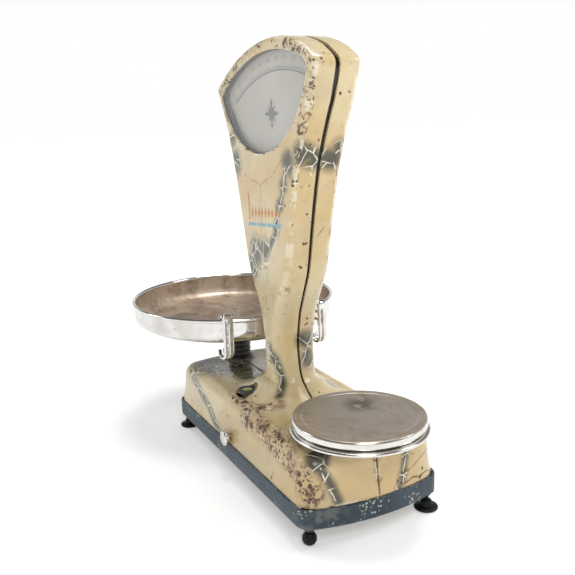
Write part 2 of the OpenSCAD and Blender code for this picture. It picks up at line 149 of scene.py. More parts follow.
def apply_modifiers(ob):
    graph = bpy.context.evaluated_depsgraph_get()
    me = bpy.data.meshes.new_from_object(ob.evaluated_get(graph))
    ob.modifiers.clear()
    ob.data = me
    return ob


def boolean(ob, other, operation, keep=False):
    m = ob.modifiers.new("cut", "BOOLEAN")
    m.object = other
    m.operation = operation
    m.solver = "EXACT"
    apply_modifiers(ob)
    if not keep:
        bpy.data.objects.remove(other)
    return ob


def bevel(ob, width, segments=2, angle=40):
    m = ob.modifiers.new("bevel", "BEVEL")
    m.width = width * MM
    m.segments = segments
    m.limit_method = "ANGLE"
    m.angle_limit = radians(angle)
    m.harden_normals = False
    return apply_modifiers(ob)


def lathe(name, profile, centre, steps=96, axis="Z", wave=None):
    """Turns (radius, height) points about an axis through centre. wave(angle) scales the radius."""
    verts, faces = [], []
    n = len(profile)
    for k in range(steps):
        a = 2 * pi * k / steps
        for i, (r, h) in enumerate(profile):
            s = wave(a, i) if wave else 1
            verts.append((r * s * cos(a), r * s * sin(a), h))
    for k in range(steps):
        for i in range(n - 1):
            a, b = k * n + i, ((k + 1) % steps) * n + i
            faces.append((a, b, b + 1, a + 1))
    ob = mesh_object(name, verts, faces)
    if axis == "-Y":
        ob.data.transform(Euler((pi / 2, 0, 0)).to_matrix().to_4x4())
    ob.data.transform(Matrix.Translation(Vector(centre) * MM))
    return tidy(ob, 50)


def rounded(points, r, steps=4):
    """Rounds each inner corner of an open (radius, height) profile."""
    out = [points[0]]
    for a, b, c in zip(points, points[1:], points[2:]):
        a, b, c = (np.array(q, float) for q in (a, b, c))
        la, lc = np.linalg.norm(a - b), np.linalg.norm(c - b)
        d = min(r, la * 0.45, lc * 0.45)
        p, q = b + (a - b) / la * d, b + (c - b) / lc * d
        for k in range(steps + 1):
            t = k / steps
            out.append(tuple((1 - t) ** 2 * p + 2 * t * (1 - t) * b + t ** 2 * q))
    out.append(points[-1])
    return [tuple(q) for q in out]


def prism_y(name, outline, y0, y1):
    """Solid with an (x, z) outline, between two depths."""
    n = len(outline)
    verts = [(x, y0, z) for x, z in outline] + [(x, y1, z) for x, z in outline]
    faces = [tuple(range(n)), tuple(range(2 * n - 1, n - 1, -1))]
    faces += [(i, i + n, (i + 1) % n + n, (i + 1) % n) for i in range(n)]
    return tidy(mesh_object(name, verts, faces))


def rod(name, centre, r, length, axis="Z", steps=48):
    """Closed round bar, its middle at centre."""
    profile = [(0.001, -length / 2), (r, -length / 2), (r, length / 2), (0.001, length / 2)]
    return lathe(name, profile, centre, steps, axis)


def join(name, objects):
    bm = bmesh.new()
    for ob in objects:
        bm.from_mesh(ob.data)
        bpy.data.objects.remove(ob)
    me = bpy.data.meshes.new(name)
    bm.to_mesh(me)
    bm.free()
    ob = bpy.data.objects.new(name, me)
    bpy.context.scene.collection.objects.link(ob)
    return ob


def worn_edges(ob, reach=0.09):
    """Stores on each vertex how sharply convex the surface is there, for paint that chips off edges and for
    the painted highlight along the housing's edges.
    """
    bm = bmesh.new()
    bm.from_mesh(ob.data)
    bm.verts.ensure_lookup_table()
    value = np.zeros(len(bm.verts))
    for e in bm.edges:
        if len(e.link_faces) != 2:
            continue
        a, b = e.link_faces
        span = (a.calc_center_median() - b.calc_center_median()).length / MM + 0.5
        bend = e.calc_face_angle_signed(0) / span
        for v in e.verts:
            value[v.index] = max(value[v.index], bend)
    value = np.clip(value / reach, 0, 1)
    bm.free()
    layer = ob.data.attributes.new("edge_convexity", "FLOAT", "POINT")
    layer.data.foreach_set("value", value.astype(np.float32))


# ---------------------------------------------------------------- material helpers
class Paint:
    """Builds one node material; each method adds a node and returns the socket to use next."""

    def __init__(self, name):
        self.mat = bpy.data.materials.new(name)
        self.mat.use_nodes = True
        self.tree = self.mat.node_tree
        self.shader = self.tree.nodes["Principled BSDF"]
        self.place = self.tree.nodes.new("ShaderNodeTexCoord").outputs["Object"]

    def node(self, kind, inputs=None, **props):
        n = self.tree.nodes.new(kind)
        for key, value in props.items():
            setattr(n, key, value)
        for key, value in (inputs or {}).items():
            self.feed(n.inputs[key], value)
        return n

    def feed(self, socket, value):
        if isinstance(value, bpy.types.NodeSocket):
            self.tree.links.new(value, socket)
        elif socket.type == "RGBA" and len(value) == 3:
            socket.default_value = (*value, 1)
        else:
            socket.default_value = value

    def set(self, **values):
        for key, value in values.items():
            self.feed(self.shader.inputs[key.replace("_", " ")], value)

    def math(self, op, a, b=0.0, clamp=False):
        return self.node("ShaderNodeMath", {0: a, 1: b}, operation=op, use_clamp=clamp).outputs[0]

    def noise(self, scale, detail=4.0, rough=0.55, distort=0.0, vector=None):
        inputs = {"Vector": vector or self.place, "Scale": scale, "Detail": detail, "Roughness": rough,
                  "Distortion": distort}
        return self.node("ShaderNodeTexNoise", inputs).outputs["Fac"]

    def cells(self, scale, feature="F1", vector=None, out="Distance"):
        return self.node("ShaderNodeTexVoronoi", {"Vector": vector or self.place, "Scale": scale},
                         feature=feature).outputs[out]

    def step(self, value, low, high):
        """0 below low, 1 above high, smooth between; low may exceed high."""
        n = self.node("ShaderNodeMapRange", {"Value": value}, interpolation_type="SMOOTHSTEP")
        if low > high:
            low, high = high, low
            n.inputs["To Min"].default_value = 1
            n.inputs["To Max"].default_value = 0
        n.inputs["From Min"].default_value = low
        n.inputs["From Max"].default_value = high
        return n.outputs["Result"]

    def mix(self, fac, a, b):
        n = self.node("ShaderNodeMix", data_type="RGBA")
        self.feed(n.inputs["Factor"], fac)
        self.feed(n.inputs["A"], a)
        self.feed(n.inputs["B"], b)
        return n.outputs["Result"]

    def lerp(self, fac, a, b):
        n = self.node("ShaderNodeMix", data_type="FLOAT")
        self.feed(n.inputs["Factor"], fac)
        self.feed(n.inputs["A"], a)
        self.feed(n.inputs["B"], b)
        return n.outputs["Result"]

    def times(self, *masks):
        out = masks[0]
        for m in masks[1:]:
            out = self.math("MULTIPLY", out, m)
        return out

    def most(self, *masks):
        out = masks[0]
        for m in masks[1:]:
            out = self.math("MAXIMUM", out, m)
        return out

    def warped(self, scale, amount):
        """Object coordinates pushed about by noise."""
        n = self.node("ShaderNodeTexNoise", {"Vector": self.place, "Scale": scale, "Detail": 3.0})
        off = self.vector("SUBTRACT", n.outputs["Color"], (0.5, 0.5, 0.5))
        return self.vector("ADD", self.place, self.vector("SCALE", off, amount))

    def spots(self, vector, places, soft=0.3):
        """1 inside balls of (x, y, z, radius) about the tower's centre line, fading outwards."""
        nearest = None
        for x, y, z, r in places:
            centre = ((TOWER_X + x) * MM, y * MM, z * MM)
            d = self.math("DIVIDE", self.vector("DISTANCE", vector, centre), r * MM)
            nearest = d if nearest is None else self.math("MINIMUM", nearest, d)
        return self.step(nearest, 1.0, soft)

    def vector(self, op, a, b):
        n = self.node("ShaderNodeVectorMath", {0: a, "Scale" if op == "SCALE" else 1: b}, operation=op)
        return n.outputs["Value" if op in ("DOT_PRODUCT", "DISTANCE") else "Vector"]

    def paths(self, vector, lines, width, soft=0.5):
        """1 along lines through points in millimetres, fading out at width from them.

        Each segment's point hangs on the last result by a millionth. Cycles then works through the segments
        in turn, which keeps its node stack small.
        """
        nearest, here = None, vector
        for points in lines:
            for a, b in zip(points, points[1:]):
                along = (Vector(b) - Vector(a)) * MM
                off = self.vector("SUBTRACT", here, Vector(a) * MM)
                share = self.vector("DOT_PRODUCT", off, along / along.length_squared)
                share = self.math("ADD", share, 0.0, clamp=True)
                d = self.vector("DISTANCE", off, self.vector("SCALE", along, share))
                nearest = d if nearest is None else self.math("MINIMUM", nearest, d)
                here = self.vector("ADD", vector, self.vector("SCALE", (1e-6, 1e-6, 1e-6), nearest))
        return self.step(nearest, width * MM, width * soft * MM)

    def pits(self, size, warp, reach, patch, gather):
        """Small round pits that gather in patches."""
        dots = self.step(self.cells(size, "F1", self.warped(*warp)), *reach)
        return self.times(dots, self.step(self.noise(*patch), *gather))

    def axis(self, letter):
        return self.node("ShaderNodeSeparateXYZ", {0: self.place}).outputs[letter]

    def bump(self, height, strength, distance):
        n = self.node("ShaderNodeBump", {"Height": height, "Strength": strength, "Distance": distance * MM})
        self.feed(self.shader.inputs["Normal"], n.outputs[0])


def srgb(r, g, b):
    """Linear colour from 0-255 display values."""
    return tuple((c / 255 / 12.92) if c <= 10 else ((c / 255 + 0.055) / 1.055) ** 2.4 for c in (r, g, b))


CREAM = srgb(208, 192, 153)
OCHRE = srgb(196, 170, 120)
SMOKE_AND_SHADOW_GREY = srgb(46, 50, 46)
OLIVE = srgb(98, 104, 62)
PIT = srgb(30, 22, 18)
RUST = srgb(88, 52, 40)
VEIN = srgb(92, 70, 48)
PALE = srgb(226, 220, 200)


def on_tower(points):
    return [(TOWER_X + x, y, z) for x, y, z in points]


def on_face(points):
    """Points drawn in X and Z on the tower's front face."""
    return on_tower([(x, -FACE_Y, z) for x, z in points])


# Smoky patches, and on the base top painted shadows of the bowl and the weight plate: X from the tower's
# centre line, Y, Z and radius in millimetres.
HEAD_SMOKE = [(-98, -38, 503, 32), (-110, -38, 540, 20), (86, -38, 506, 30), (70, -38, 476, 22),
              (56, -38, 446, 20), (46, -38, 414, 19), (120, -28, 520, 28), (116, -10, 514, 26),
              (117, 16, 514, 28), (122, 32, 530, 26)]
WAIST_SMOKE = [(-28, -38, 364, 38), (-44, -38, 338, 32), (4, -38, 372, 28), (33, 14, 222, 28),
               (34, 18, 190, 26)]
# On the base top the two large patches under the bowl are a painted shadow of the bowl over a dark stain. The
# last one, under the weight plate's rim, is a painted shadow of the plate. The two small ones are olive
# blotches.
BASE_SMOKE_AND_PAN_SHADOWS = [(-190, -45, 128, 80), (-110, -20, 128, 50), (8, -90, 127, 10), (46, -77, 129, 9),
              (238, -84, 122, 24)]
BACK_SMOKE = [(-70, 38, 500, 34), (60, 38, 430, 30), (-30, 38, 345, 30), (-118, 0, 520, 34),
              (-66, 4, 330, 26), (40, 112, 90, 34), (-130, 110, 96, 34), (-258, 30, 92, 36),
              (20, 60, 132, 30)]
# Dark airbrushed bands, pale veins inside them and thin brown veins over the plain enamel.
BANDS = [on_face([(90, 520), (72, 480), (54, 440), (38, 400), (4, 360)]),
         on_tower([(-208, -105, 118), (-177, -106, 112), (-123, -108, 92), (-72, -111, 73), (-30, -113, 58)]),
         on_tower([(245, -86, 114), (250, -78, 99), (254, -70, 81), (257, -64, 62)]),
         on_tower([(255, 50, 105), (259, 41, 77), (261, 36, 60)]),
         on_tower([(4, -38, 208), (20, -35, 190), (27, -31, 175), (34, -32, 160), (46, -44, 145)]),
         on_tower([(-30, -36, 190), (-35, -41, 165), (-48, -52, 147)])]
PALE_VEINS = [on_face([(98, 508), (76, 492), (70, 465), (56, 440), (50, 405), (14, 352), (-6, 348),
                       (-28, 372)]),
              on_face([(14, 352), (-20, 338), (-34, 318)]),
              on_face([(-112, 506), (-92, 500), (-74, 486)]),
              on_tower([(119, -22, 524), (112, -21, 503), (104, -31, 488), (95, -37, 474)]),
              on_tower([(112, -21, 503), (110, -10, 492)]),
              on_tower([(112, 6, 503), (117, 20, 517), (123, 32, 528)]),
              on_tower([(117, 20, 517), (112, 28, 500)]),
              on_tower([(-200, -105, 118), (-120, -108, 94), (-66, -111, 70)]),
              on_tower([(247, -84, 112), (252, -74, 90), (257, -66, 64)]),
              on_tower([(254, 52, 104), (258, 44, 84), (260, 40, 64)]),
              on_tower([(10, -37, 205), (26, -32, 180), (40, -38, 150)])]
BROWN_VEINS = [on_face([(-74, 488), (-6, 472), (36, 488), (78, 520)]),
               on_face([(-6, 472), (-12, 440), (-6, 385)]),
               on_face([(-100, 488), (-92, 462), (-98, 440)]),
               on_face([(10, 350), (2, 300), (-6, 268), (4, 236), (0, 205)]),
               on_tower([(10, -38, 320), (30, -37, 290), (44, -24, 268)]),
               on_tower([(126, -36, 534), (122, -22, 531), (121, -6, 528)]),
               on_tower([(85, 8, 398), (93, 30, 424)]),
               on_tower([(62, 12, 322), (72, 32, 346)]),
               on_tower([(259, -5, 97), (260, 6, 82), (261, -2, 68)]),
               on_tower([(150, -112, 64), (158, -109, 84), (150, -107, 100)])]
CHIPPED_RIM = on_face([(-154, 615), (-110, 648), (-40, 680), (50, 686), (122, 668), (162, 640),
                       (154, 596), (128, 556)])
CHIPPED_SHOULDER = on_tower([(40, -98, 122), (105, -103, 119), (200, -106, 110), (234, -104, 98),
                             (244, -99, 72)])
CHIPPED_FOOT = on_tower([(-46, -84, 128), (-9, -92, 127), (24, -87, 128), (46, -76, 129), (64, -50, 135)])


def enamel():
    """Cream enamel with airbrushed dark marbling, painted shadows of the pans on the base top, pale and brown
    veins, pale cream edges that are partly rubbed paint and partly a painted highlight, and chips that follow
    the edges.
    """
    p = Paint("cream_marbled_enamel")
    soft, fine = p.warped(16, 0.022), p.warped(40, 0.009)
    ground = p.mix(p.step(p.noise(5, 3), 0.44, 0.64), CREAM, OCHRE)
    ground = p.mix(p.times(p.step(p.noise(70, 5, 0.7), 0.5, 0.75), 0.3), ground, srgb(176, 158, 118))
    ground = p.mix(p.times(p.step(p.noise(9, 2), 0.52, 0.66), 0.3), ground, srgb(168, 166, 146))

    # Mask of the dark marbling patches and bands; on the base top it also carries the painted shadows of the
    # bowl and the weight plate.
    smoke_and_pan_shadow = p.most(p.spots(soft, HEAD_SMOKE + WAIST_SMOKE + BACK_SMOKE), p.spots(soft, BASE_SMOKE_AND_PAN_SHADOWS, 0.5),
                   p.paths(soft, BANDS, 14, 0.1))
    rim = p.cells(40, "DISTANCE_TO_EDGE", fine)
    heart = p.times(p.step(rim, 0.16, 0.34), p.step(p.noise(12, 2), 0.40, 0.55))
    shade = p.mix(p.times(heart, 0.8), SMOKE_AND_SHADOW_GREY, OLIVE)
    colour = p.mix(p.times(smoke_and_pan_shadow, p.lerp(p.noise(34, 5, 0.65), 0.84, 1.0)), ground, shade)
    net = p.times(p.step(rim, 0.050, 0.014), p.step(smoke_and_pan_shadow, 0.30, 0.7), p.step(p.noise(14, 2), 0.42, 0.54))
    pale = p.most(net, p.paths(fine, PALE_VEINS, 1.5))
    brown = p.times(p.paths(fine, BROWN_VEINS, 0.95), p.step(p.noise(60, 3), 0.34, 0.48))
    crazing = p.step(p.cells(9, "DISTANCE_TO_EDGE", p.warped(22, 0.02)), 0.010, 0.004)
    far = p.times(crazing, p.step(p.axis("Y"), 0.036, 0.04))
    colour = p.mix(p.times(p.most(brown, far), 0.8), colour, VEIN)
    colour = p.mix(p.times(pale, 0.85), colour, PALE)

    edge_convexity = p.node("ShaderNodeAttribute", attribute_name="edge_convexity").outputs["Fac"]
    # Convex edges turn pale cream: partly paint rubbed through, partly a painted highlight along the edges.
    rubbed_and_highlit_edges = p.times(p.step(edge_convexity, 0.55, 0.95), p.step(p.noise(42, 4, 0.7), 0.42, 0.56))
    colour = p.mix(p.times(rubbed_and_highlit_edges, 0.6), colour, srgb(232, 224, 204))
    dots = p.cells(120, "F1", p.warped(150, 0.004))
    sizes = p.lerp(p.noise(130, 1), 0.05, 0.42)
    speck = p.step(p.math("SUBTRACT", dots, sizes), 0.10, 0.0)
    rare = p.step(p.noise(34, 2), 0.625, 0.66)
    along_rim = p.times(p.paths(fine, [CHIPPED_RIM], 16, 0.3), p.step(p.noise(46, 4, 0.7), 0.46, 0.53))
    shoulder = p.paths(soft, [CHIPPED_SHOULDER], 26, 0.35)
    apron = p.paths(fine, [CHIPPED_FOOT], 13, 0.5)
    scab = p.times(p.most(shoulder, apron), p.step(p.noise(58, 5, 0.72), 0.47, 0.54))
    blister = p.times(p.most(shoulder, apron), p.step(p.noise(110, 4, 0.7), 0.53, 0.57))
    edge_chip = p.times(p.step(edge_convexity, 0.4, 0.8), p.step(p.noise(90, 4, 0.65), 0.56, 0.60),
                        p.step(p.noise(11, 2), 0.46, 0.56))
    crumbs = p.times(along_rim, p.step(p.noise(150, 4, 0.7), 0.48, 0.53))
    chips = p.most(p.times(speck, rare), crumbs, blister, edge_chip, p.times(speck, shoulder))
    scabbed = p.mix(p.step(p.noise(95, 3), 0.42, 0.58), srgb(186, 150, 128), srgb(112, 84, 68))
    colour = p.mix(p.times(scab, 0.7), colour, scabbed)
    colour = p.mix(p.times(chips, 0.92), colour, p.mix(p.step(p.noise(70, 2), 0.42, 0.6), PIT, RUST))
    p.set(Base_Color=colour, Roughness=p.lerp(p.most(chips, scab), p.lerp(p.noise(30, 4), 0.20, 0.34), 0.7))
    p.set(Coat_Weight=0.2, Coat_Roughness=0.1)
    p.bump(p.times(p.noise(150, 4, 0.7), 0.5), 0.3, 0.4)
    return p.mat


def blue_skirt():
    p = Paint("blue_grey_skirt_enamel")
    colour = p.mix(p.step(p.noise(12, 4), 0.35, 0.7), srgb(24, 44, 56), srgb(40, 64, 78))
    edge_convexity = p.node("ShaderNodeAttribute", attribute_name="edge_convexity").outputs["Fac"]
    rub = p.times(p.step(edge_convexity, 0.2, 0.8), p.step(p.noise(60, 5, 0.7), 0.45, 0.58))
    chip = p.pits(190, (120, 0.005), (0.42, 0.26), (26, 4, 0.7), (0.52, 0.60))
    corner = p.times(p.spots(p.warped(14, 0.05), [(250, -90, 44, 60)]), p.step(p.noise(45, 5), 0.42, 0.6))
    bare = p.most(rub, p.times(corner, 0.9))
    colour = p.mix(p.times(bare, 0.75), colour, srgb(104, 106, 102))
    chipped = p.mix(p.step(p.noise(20, 2), 0.45, 0.55), srgb(40, 34, 30), srgb(186, 184, 172))
    colour = p.mix(p.times(chip, 0.85), colour, chipped)
    p.set(Base_Color=colour, Roughness=p.lerp(p.most(bare, chip), p.lerp(p.noise(60, 4), 0.38, 0.55), 0.7))
    p.bump(p.math("SUBTRACT", p.times(p.noise(260, 3), 0.3), chip), 0.5, 0.4)
    return p.mat


def chrome(name, tint=(0.72, 0.71, 0.69), rough=(0.07, 0.20), film=0.3):
    """Old chrome plate: smudged reflections with a light brown film and a few pits."""
    p = Paint(name)
    smear = p.step(p.noise(18, 5, 0.65, 0.6), 0.40, 0.70)
    pits = p.pits(210, (90, 0.004), (0.20, 0.10), (24, 3), (0.55, 0.62))
    colour = p.mix(p.times(smear, film), tint, srgb(150, 134, 112))
    colour = p.mix(pits, colour, srgb(60, 46, 36))
    dull = p.most(p.lerp(smear, *rough), p.times(pits, 0.7))
    p.set(Base_Color=colour, Metallic=1.0, Roughness=dull)
    p.bump(p.math("SUBTRACT", p.times(p.noise(900, 2), 0.2), pits), 0.25, 0.15)
    return p.mat


def bowl_inside():
    """The bowl's inner face: chrome gone brown and dull, brighter where goods have scuffed it."""
    p = Paint("tarnished_bowl_inside")
    cloud = p.step(p.noise(9, 5, 0.6, 0.8), 0.34, 0.66)
    brown = p.step(p.noise(22, 5, 0.7, 0.4), 0.45, 0.65)
    pits = p.pits(150, (70, 0.006), (0.24, 0.12), (16, 3), (0.53, 0.60))
    colour = p.mix(cloud, srgb(206, 190, 172), srgb(166, 146, 126))
    colour = p.mix(p.times(brown, 0.6), colour, srgb(104, 82, 64))
    colour = p.mix(pits, colour, srgb(58, 42, 34))
    p.set(Base_Color=colour, Metallic=0.7, Roughness=p.lerp(cloud, 0.40, 0.56))
    p.bump(p.math("SUBTRACT", p.times(p.noise(300, 4), 0.4), pits), 0.3, 0.25)
    return p.mat


def plate_top():
    """The weight plate's top: dull metal with turning rings and stains."""
    p = Paint("dulled_plate_top")
    flat = p.vector("MULTIPLY", p.place, (1, 1, 0))
    radius = p.vector("DISTANCE", flat, (PLATE_X * MM, 0, 0))
    along = {"W": p.math("MULTIPLY", radius, 900.0), "Scale": 1.0, "Detail": 2.0}
    rings = p.node("ShaderNodeTexNoise", along, noise_dimensions="1D").outputs["Fac"]
    stain = p.step(p.noise(13, 5, 0.65, 1.2), 0.44, 0.66)
    patch = p.spots(p.warped(30, 0.03), [(PLATE_X - TOWER_X - 34, 24, 161, 40)], 0.1)
    dirt = p.times(patch, p.step(p.noise(60, 4), 0.36, 0.5))
    colour = p.mix(stain, srgb(190, 178, 164), srgb(162, 149, 134))
    colour = p.mix(p.times(p.step(rings, 0.4, 0.7), 0.2), colour, srgb(128, 120, 110))
    colour = p.mix(p.times(dirt, 0.8), colour, srgb(78, 64, 52))
    p.set(Base_Color=colour, Metallic=0.75, Roughness=p.lerp(stain, 0.34, 0.50))
    p.bump(p.math("ADD", p.times(rings, 0.5), p.times(p.noise(500, 3), 0.3)), 0.25, 0.12)
    return p.mat


def plain_metal(name, colour, rough, metal=1.0, grain=260):
    """Turned or cast metal with fine grain and faint blotches."""
    p = Paint(name)
    blot = p.step(p.noise(30, 4), 0.4, 0.7)
    dark = tuple(c * 0.6 for c in colour)
    p.set(Base_Color=p.mix(p.times(blot, 0.7), colour, dark), Metallic=metal)
    p.set(Roughness=p.lerp(blot, rough, min(rough + 0.2, 1)))
    p.bump(p.noise(grain, 4, 0.7), 0.35, 0.2)
    return p.mat


def rubber(name, colour, dust=0.35):
    """Old rubber with grey dust in its grain."""
    p = Paint(name)
    grey = p.times(p.step(p.noise(40, 5, 0.7), 0.48, 0.72), dust)
    p.set(Base_Color=p.mix(grey, colour, srgb(110, 108, 104)), Roughness=p.lerp(grey, 0.42, 0.75))
    p.bump(p.noise(500, 3, 0.6), 0.4, 0.15)
    return p.mat


def printed_dial():
    """Aged grey dial with faint foxing."""
    p = Paint("aged_grey_dial")
    haze = p.step(p.noise(8, 4), 0.35, 0.7)
    fox = p.pits(90, (60, 0.006), (0.14, 0.06), (30, 2), (0.5, 0.6))
    colour = p.mix(haze, srgb(182, 178, 168), srgb(170, 166, 156))
    colour = p.mix(p.times(fox, 0.6), colour, srgb(130, 118, 100))
    p.set(Base_Color=colour, Roughness=p.lerp(haze, 0.5, 0.62))
    p.bump(p.noise(700, 2), 0.1, 0.1)
    return p.mat


def ink(name, colour):
    """Printed or painted mark, thin in places."""
    p = Paint(name)
    thin = p.step(p.noise(240, 4, 0.7), 0.42, 0.66)
    faded = tuple(c * 0.55 + 0.25 for c in colour)
    p.set(Base_Color=p.mix(p.times(thin, 0.55), colour, faded), Roughness=p.lerp(thin, 0.45, 0.6))
    return p.mat


def window_glass():
    p = Paint("window_glass")
    smear = p.step(p.noise(20, 4), 0.4, 0.7)
    p.set(Base_Color=(0.96, 0.98, 0.98), Roughness=p.lerp(smear, 0.02, 0.08), Alpha=0.10, IOR=1.45)
    return p.mat


def vial_fluid():
    p = Paint("vial_fluid")
    glow = p.step(p.noise(120, 2), 0.3, 0.7)
    p.set(Base_Color=p.mix(glow, srgb(206, 204, 150), srgb(184, 186, 120)), Roughness=0.08, Coat_Weight=0.8)
    return p.mat


# ---------------------------------------------------------------- housing
# Half width, half depth and corner radius of the tower at each height.
TOWER_SIDE = lookup([(118, 118), (127, 100), (134, 82), (147, 61), (160, 45), (175, 37.5), (191, 34.5),
                     (207, 32.5), (224, 32), (241, 35), (259, 39), (276, 44), (312, 60), (345, 74),
                     (394, 85), (455, 99), (513, 116), (569, 141), (598, 157)])
TOWER_DEPTH = lookup([(118, 96), (127, 82), (132, 70), (144, 53), (158, 43), (176, FACE_Y), (190, FACE_Y),
                      (800, FACE_Y)])
CORNER = lookup([(118, 80), (135, 62), (150, 42), (170, 32), (224, 25), (262, 24), (320, 15), (400, 10),
                 (520, 8), (700, 9)])
# The head's shoulders: centre in X and Z, radius, and the angles where each starts and meets the roof.
LEFT_SHOULDER = (-153.5, 616, 14, -90, -33.5)
RIGHT_SHOULDER = (156, 641, 15, 90, 38)
BEND_START = 545.0
FACE_STEPS, SIDE_STEPS, CORNER_STEPS = 18, 6, 7


def shoulder(corner, t, d):
    """Point on a rounded shoulder in X and Z, from its widest point at t = 0 to the roof at t = 1."""
    x, z, r, a0, a1 = corner
    return np.array(polar(x, z, r - d, a0 + (a1 - a0) * t))


def roof_curve(d):
    """The head's top from shoulder to shoulder: an arc about the pointer axis that droops at the right."""
    left, right = shoulder(LEFT_SHOULDER, 1, d), shoulder(RIGHT_SHOULDER, 1, d)
    arc = [polar(FAN_DX, FAN_Z, HEAD_R - d, a) for a in range(-28, 12, 6)]
    return left, right, np.array(smooth_curve([left] + arc + [(132 - d * 0.3, 672 - d * 0.9), right], 8))


def section(left, right, half_d, corner, bulge):
    """Closed ring of points: front chain, right side, back chain, left side. bulge(u) lifts the middle."""
    xl, xr = left[0], right[0]
    rc = min(corner, (xr - xl) * 0.49, half_d * 0.97)
    turn = [pi / 2 * k / CORNER_STEPS for k in range(CORNER_STEPS + 1)]
    chain = [(xl + rc - rc * cos(a), -half_d + rc - rc * sin(a)) for a in turn]
    chain += [(xl + rc + (xr - xl - 2 * rc) * k / FACE_STEPS, -half_d) for k in range(1, FACE_STEPS)]
    chain += [(xr - rc + rc * sin(a), -half_d + rc - rc * cos(a)) for a in turn]
    ys = [(-half_d + rc) + (2 * half_d - 2 * rc) * k / SIDE_STEPS for k in range(1, SIDE_STEPS)]
    ring = chain + [(xr, y) for y in ys]
    ring += [(x, -y) for x, y in reversed(chain)] + [(xl, y) for y in reversed(ys)]
    out = []
    for x, y in ring:
        u = (x - xl) / (xr - xl)
        out.append((TOWER_X + x, y, left[1] + (right[1] - left[1]) * u + bulge(u)))
    return out


def tower_solid(d):
    """The tower and head as one closed solid, its wall set in by d."""
    left1, right1, roof = roof_curve(d)
    us = (roof[:, 0] - left1[0]) / (right1[0] - left1[0])
    lift = roof[:, 1] - (left1[1] + (right1[1] - left1[1]) * us)

    def bulge(amount):
        return lambda u: float(np.interp(u, us, lift)) * amount

    rings = []
    for z in list(np.arange(127 - d * 2, 180, 4.0)) + list(np.arange(180, BEND_START, 9.0)):
        w = TOWER_SIDE(z) - d
        rings.append(section((-w, z), (w, z), TOWER_DEPTH(z) - d, CORNER(z) - d * 0.6, bulge(0)))
    left0, right0 = shoulder(LEFT_SHOULDER, 0, d), shoulder(RIGHT_SHOULDER, 0, d)
    steps = 12
    for k in range(steps + 1):
        t = k / steps
        zl, zr = BEND_START + (left0[1] - BEND_START) * t, BEND_START + (right0[1] - BEND_START) * t
        wl = min(TOWER_SIDE(min(zl, 596)) + max(zl - 596, 0) * 0.55, 400) - d
        wr = min(TOWER_SIDE(min(zr, 596)) + max(zr - 596, 0) * 0.36, 400) - d
        wl = min(wl, -left0[0]) if k < steps else -left0[0]
        wr = min(wr, right0[0]) if k < steps else right0[0]
        rings.append(section((-wl, zl), (wr, zr), FACE_Y - d, 10, bulge(0.95 * t * t * (3 - 2 * t))))
    edge_r = 9
    for k in range(1, 9):
        a = pi / 2 * k / 8
        rings.append(section(shoulder(LEFT_SHOULDER, sin(a), d), shoulder(RIGHT_SHOULDER, sin(a), d),
                             FACE_Y - d - edge_r + edge_r * cos(a), 10, bulge(0.95 + 0.05 * sin(a))))
    n = len(rings[0])
    verts = [v for r in rings for v in r]
    faces = [tuple(range(n - 1, -1, -1))] + skin(n, len(rings))
    top = (len(rings) - 1) * n
    m = 2 * (CORNER_STEPS + 1) + FACE_STEPS - 1
    side = SIDE_STEPS - 1
    grid = []
    for i in range(m):
        front, back = top + i, top + m + side + (m - 1 - i)
        if i == 0:
            middle_ids = [top + n - 1 - k for k in range(side)]
        elif i == m - 1:
            middle_ids = [top + m + k for k in range(side)]
        else:
            a, b = np.array(verts[front]), np.array(verts[back])
            middle_ids = []
            for k in range(1, SIDE_STEPS):
                middle_ids.append(len(verts))
                verts.append(tuple(a + (b - a) * k / SIDE_STEPS))
        grid.append([front] + middle_ids + [back])
    for a, b in zip(grid, grid[1:]):
        faces += [(a[k], b[k], b[k + 1], a[k + 1]) for k in range(SIDE_STEPS)]
    return tidy(mesh_object("tower_solid", verts, faces))


def base_plan(d, corner_r, steps=8):
    """Plan of the base about the tower's centre line: straight sides and slightly bowed ends."""
    b = SKIRT_HALF_W - d
    r = max(corner_r - d, 4)
    re = (SKIRT_HALF_W ** 2 + END_BULGE ** 2) / (2 * END_BULGE) - d
    ex = SKIRT_TIP - d - re
    cx = ex + sqrt((re - r) ** 2 - (b - r) ** 2)
    a = atan2(b - r, cx - ex)
    quarter = [(ex + re * cos(a * i / steps), re * sin(a * i / steps)) for i in range(steps + 1)]
    for i in range(1, steps + 1):
        t = a + (pi / 2 - a) * i / steps
        quarter.append((cx + r * cos(t), b - r + r * sin(t)))
    quarter += [(cx * (1 - k / 10), b) for k in range(1, 10)]
    up = quarter + [(0, b)] + [(-x, y) for x, y in reversed(quarter)]
    down = [(x, -y) for x, y in reversed(up[1:-1])]
    return [(TOWER_X + x, y) for x, y in up + down]


def base_solid(d):
    """The housing's base as a closed solid with a draughted wall and a broad rounded top edge."""
    edge_r, corner_r = 21 - d * 0.5, 36
    z0 = SKIRT_TOP - (8 if d else 0)
    top = BASE_TOP - d
    levels = [(3, z0), (3.4, z0 + 8), (6, z0 + 22), (8.6, top - edge_r - 4), (9, top - edge_r)]
    for k in range(1, 10):
        a = pi / 2 * k / 9
        levels.append((9 + edge_r * (1 - cos(a)), top - edge_r + edge_r * sin(a)))
    levels += [(9 + edge_r + 5, top)]
    rings = [[(x, y, z) for x, y in base_plan(inset + d, corner_r)] for inset, z in levels]
    n = len(rings[0])
    verts = [v for r in rings for v in r]
    faces = [tuple(range(n - 1, -1, -1)), tuple(range((len(rings) - 1) * n, len(rings) * n))]
    return tidy(mesh_object("base_solid", verts, faces + skin(n, len(rings))))


